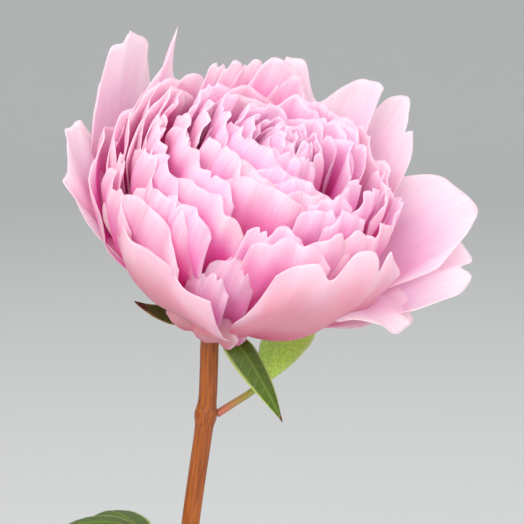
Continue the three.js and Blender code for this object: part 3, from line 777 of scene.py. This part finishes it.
def curve_points(path, steps):
    """Points evenly spaced along a smooth curve through the path's points."""
    knots = np.array(path, float)
    gaps = np.sqrt(np.linalg.norm(np.diff(knots, axis=0), axis=1))
    times = np.concatenate([[0], np.cumsum(gaps)])
    padded = np.concatenate([[2 * knots[0] - knots[1]], knots, [2 * knots[-1] - knots[-2]]])
    padded_times = np.concatenate([[-gaps[0]], times, [times[-1] + gaps[-1]]])
    fine = []
    for k in range(len(knots) - 1):
        t0, t1, t2, t3 = padded_times[k:k + 4]
        p0, p1, p2, p3 = padded[k:k + 4]
        for t in np.linspace(t1, t2, 40, endpoint=k == len(knots) - 2):
            a1 = p0 * (t1 - t) / (t1 - t0) + p1 * (t - t0) / (t1 - t0)
            a2 = p1 * (t2 - t) / (t2 - t1) + p2 * (t - t1) / (t2 - t1)
            a3 = p2 * (t3 - t) / (t3 - t2) + p3 * (t - t2) / (t3 - t2)
            b1 = a1 * (t2 - t) / (t2 - t0) + a2 * (t - t0) / (t2 - t0)
            b2 = a2 * (t3 - t) / (t3 - t1) + a3 * (t - t1) / (t3 - t1)
            fine.append(b1 * (t2 - t) / (t2 - t1) + b2 * (t - t1) / (t2 - t1))
    fine = np.array(fine)
    lengths = np.concatenate([[0], np.cumsum(np.linalg.norm(np.diff(fine, axis=0), axis=1))])
    wanted = np.linspace(0, lengths[-1], steps + 1)
    return np.stack([np.interp(wanted, lengths, fine[:, k]) for k in range(3)], -1), lengths[-1]


def ring_points(outline, sides):
    """Rings of points round the upright axis, one for each (radius, height)."""
    turns = [FULL_TURN * k / sides for k in range(sides)]
    return [(r * math.cos(turn), r * math.sin(turn), z) for r, z in outline for turn in turns]


def ring_faces(rings, sides, first=0):
    """Quads between neighbouring rings of points, the first of which starts at a given point."""
    faces = []
    for ring in range(rings - 1):
        for k in range(sides):
            a = first + ring * sides + k
            b = first + ring * sides + (k + 1) % sides
            faces.append((a, b, b + sides, a + sides))
    return faces


def end_faces(rings, sides):
    """The flat faces that close the first and the last ring."""
    last = (rings - 1) * sides
    return [tuple(range(sides))[::-1], tuple(range(last, last + sides))]


def rod_mesh(path, radius_at, steps, sides):
    """Points and faces of a round rod along a path, and its painted values."""
    centres, length = curve_points(path, steps)
    tangents = np.gradient(centres, axis=0)
    tangents /= np.linalg.norm(tangents, axis=1, keepdims=True)
    side = Vector(tangents[0]).orthogonal().normalized()
    points, along, grain = [], [], []
    for i, (centre, tangent) in enumerate(zip(centres, tangents)):
        tangent = Vector(tangent)
        side = (side - tangent * side.dot(tangent)).normalized()
        other = tangent.cross(side)
        t = i / steps
        for k in range(sides):
            turn = FULL_TURN * k / sides
            spoke = side * math.cos(turn) + other * math.sin(turn)
            radius = radius_at(t, turn)
            points.append(Vector(centre) + spoke * radius)
            along.append(t)
            grain.append((math.cos(turn) * radius, t * length, math.sin(turn) * radius))
    faces = ring_faces(steps + 1, sides) + end_faces(steps + 1, sides)
    return np.array([tuple(p) for p in points]), faces, np.array(along), np.array(grain)


def make_stem():
    """The stem with its two joints, swelling into the receptacle that carries the petals."""
    def radius_at(t, turn):
        upper = UPPER_JOINT_SWELL * math.exp(-(((t - UPPER_JOINT) / JOINT_LENGTH) ** 2))
        lower = LOWER_JOINT_SWELL * math.exp(-(((t - LOWER_JOINT) / JOINT_LENGTH) ** 2))
        flutes = 0.07 * math.sin(5 * turn + 2 * t) + 0.05 * math.sin(3 * turn + 9 * t)
        return STEM_RADIUS + upper + lower + flutes

    points, faces, along, grain = rod_mesh(STEM_PATH, radius_at, 150, 24)
    painted = {"along": along, "grain": grain}
    add_piece("stem.stalk", points, faces, STEM_FINISH, ["stem"], painted)

    sides = 28
    rings = len(RECEPTACLE_OUTLINE)
    points = np.array(ring_points(RECEPTACLE_OUTLINE, sides))
    faces = ring_faces(rings, sides) + end_faces(rings, sides)
    painted = {"along": np.ones(len(points)), "grain": points}
    add_piece("stem.receptacle", to_world(points), faces, STEM_FINISH, [], painted)


def blade_surface(path, side, width, fold, seed, early):
    """Points over a folded, pointed leaf blade, with its painted values."""
    rows, cols = BLADE_GRID
    draw = np.random.default_rng(seed)
    centres, length = curve_points(path, rows)
    tangents = np.gradient(centres, axis=0)
    tangents /= np.linalg.norm(tangents, axis=1, keepdims=True)
    side = np.array(side, float)
    across = side - tangents * (tangents @ side)[:, None]
    across /= np.linalg.norm(across, axis=1, keepdims=True)
    up = np.cross(tangents, across)
    t = np.linspace(0, 1, rows + 1)
    swelling = 0.1 + 0.9 * np.sin(math.pi * t ** early) ** 0.9 * (1 - 0.1 * t)
    half = width / 2 * swelling * (1 - t ** 8) + 0.12
    v = np.linspace(-1, 1, cols + 1)
    folded = half[:, None] * v[None, :]
    rise = (np.abs(v)[None, :] ** 1.3 - 0.5) * half[:, None] * math.sin(fold)
    wave = 0.5 * np.sin(9 * t + draw.uniform(0, 6)) * half / half.max()
    ripple = np.abs(v)[None, :] ** 2 * wave[:, None]
    ribs = -0.12 * np.maximum(0, np.sin((t * length)[:, None] * 1.35 - np.abs(folded))) ** 3
    grid = (centres[:, None] + across[:, None] * (folded * math.cos(fold))[..., None]
            + up[:, None] * (rise + ripple + ribs)[..., None])
    along = np.repeat(t[:, None], cols + 1, axis=1)
    edge = np.repeat(np.abs(v)[None, :], rows + 1, axis=0)
    grain = np.stack([folded, along * length, np.full_like(folded, seed)], -1)
    return grid, along, edge, grain


def make_blade(name, path, side, width, fold, material, replaced, seed, early=0.8):
    """One leaf blade, widest nearer its foot where early is small."""
    grid, along, edge, grain = blade_surface(path, side, width, fold, seed, early)
    thickness = np.full(grid.shape[:2], LEAF_SKIN)
    add_sheet(name, grid, thickness, material, replaced, along, edge, grain)


def make_stalk(name, path, thick, thin, material, replaced):
    """A leaf's stalk."""
    points, faces, along, grain = rod_mesh(path, lambda t, turn: thick + (thin - thick) * t, 24, 14)
    painted = {"along": along * 0.6, "grain": grain}
    add_piece(name, points, faces, material, replaced, painted)


def make_leaves():
    """The bract beside the stem, the pale leaf behind the bloom, its colour partly painted light against the
    bloom's shade, and the leaf at the vase's mouth.
    """
    make_blade("bract.blade", BRACT_PATH, BRACT_SIDE, 12, 0.35, DARK_LEAF, ["bract"], 31,
               0.55)
    make_stalk("leaf.upper.stalk", UPPER_STALK, 1.5, 1.2, LEAF_STALK_FINISH, ["leaf_upper"])
    make_blade("leaf.upper.blade", UPPER_BLADE, UPPER_SIDE, 24, 0.3, PAINTED_LIGHT_LEAF,
               ["leaf_upper"], 32, 1.15)
    make_stalk("leaf.lower.stalk", LOWER_STALK, 1.7, 1.3, LEAF_STALK_FINISH,
               ["leaf_lower"])
    for k, (where, path, side, width) in enumerate(LOWER_LEAFLETS):
        make_blade(f"leaf.lower.{where}", [LOWER_FORK, *path], side, width, 0.22, DARK_LEAF,
                   ["leaf_lower"], 40 + k)


def smooth_outline(outline, steps):
    """An outline's points joined by a smooth curve."""
    line, _ = curve_points([(r, 0, z) for r, z in outline], steps)
    return [(point[0], point[2]) for point in line]


def make_vase():
    """The thrown bud vase, turned from its full outline: underside, outside, lip, inside and well."""
    outline = (VASE_UNDERSIDE + smooth_outline(VASE_OUTSIDE, 90) + VASE_LIP
               + smooth_outline(VASE_INSIDE, 80) + VASE_WELL)
    sides = 96
    points = [(0, 0, 0)] + ring_points(outline, sides) + [(0, 0, WELL_FLOOR)]
    top = len(points) - 1
    last = top - sides
    faces = ring_faces(len(outline), sides, 1)
    for k in range(sides):
        after = (k + 1) % sides
        faces.append((0, 1 + after, 1 + k))
        faces.append((top, last + k, last + after))
    add_piece("vase.thrown", np.array(points, float), faces, GLAZE_FINISH, ["vase"], {})


# ---- floor, light and camera ----

def make_floor():
    """A wide pale round floor that rises smoothly into a backdrop all the way round."""
    sides = 96
    outline = [(FLOOR_FLAT, 0.0)]
    for k in range(1, FLOOR_STEPS + 1):
        turn = math.pi / 2 * k / FLOOR_STEPS
        outline.append((FLOOR_FLAT + FLOOR_BEND * math.sin(turn), FLOOR_BEND * (1 - math.cos(turn))))
    points = [(0.0, 0.0, 0.0)] + ring_points(outline, sides)
    faces = [(0, 1 + k, 1 + (k + 1) % sides) for k in range(sides)]
    faces += [face[::-1] for face in ring_faces(len(outline), sides, 1)]
    mesh = bpy.data.meshes.new("floor")
    mesh.from_pydata(points, [], faces)
    mesh.shade_smooth()
    floor = bpy.data.objects.new("floor", mesh)
    bpy.context.scene.collection.objects.link(floor)
    material, _, _, shader, _ = new_material("pale floor")
    shader.inputs["Base Color"].default_value = (0.52, 0.525, 0.515, 1.0)
    shader.inputs["Roughness"].default_value = 0.9
    shader.inputs["Specular IOR Level"].default_value = 0.1
    mesh.materials.append(material)


def area_light(name, place, aim, width, power, colour):
    """A soft square light aimed at a point."""
    data = bpy.data.lights.new(name, "AREA")
    data.shape = "SQUARE"
    data.size = width
    data.energy = power
    data.color = colour
    light = bpy.data.objects.new(name, data)
    light.location = place
    light.rotation_euler = (Vector(aim) - Vector(place)).to_track_quat("-Z", "Y").to_euler()
    bpy.context.scene.collection.objects.link(light)


def make_studio():
    """Soft daylight from the upper left and the front, a weak fill, a top light and an even sky."""
    aim = (0.02, 0, 0.31)
    area_light("window", (-0.65, -0.95, 0.95), aim, 1.0, 14.0, (1.0, 0.99, 0.975))
    area_light("front", (0.4, -2.2, 1.3), aim, 1.8, 32.0, (1.0, 0.995, 0.98))
    area_light("fill", (1.0, -0.4, 0.6), aim, 1.0, 4.0, (0.98, 0.98, 1.0))
    area_light("top", (0.0, 0.0, 1.8), aim, 1.4, 6.0, (1.0, 1.0, 1.0))
    world = bpy.data.worlds.new("studio air")
    world.use_nodes = True
    background = world.node_tree.nodes["Background"]
    background.inputs["Color"].default_value = (0.80, 0.82, 0.84, 1.0)
    background.inputs["Strength"].default_value = 1.02
    bpy.context.scene.world = world
    bpy.context.scene.view_settings.view_transform = "Standard"


def make_camera():
    """The camera stands in front of the bloom and a little above it."""
    data = bpy.data.cameras.new("camera")
    data.lens = 85
    data.sensor_width = 36
    data.clip_start = 0.01
    camera = bpy.data.objects.new("camera", data)
    camera.location = CAMERA_PLACE
    camera.rotation_euler = (CAMERA_TILT, 0, 0)
    bpy.context.scene.collection.objects.link(camera)
    bpy.context.scene.camera = camera


make_camera()
make_studio()
make_floor()
make_vase()
make_stem()
make_leaves()
make_sepals()
make_bloom()
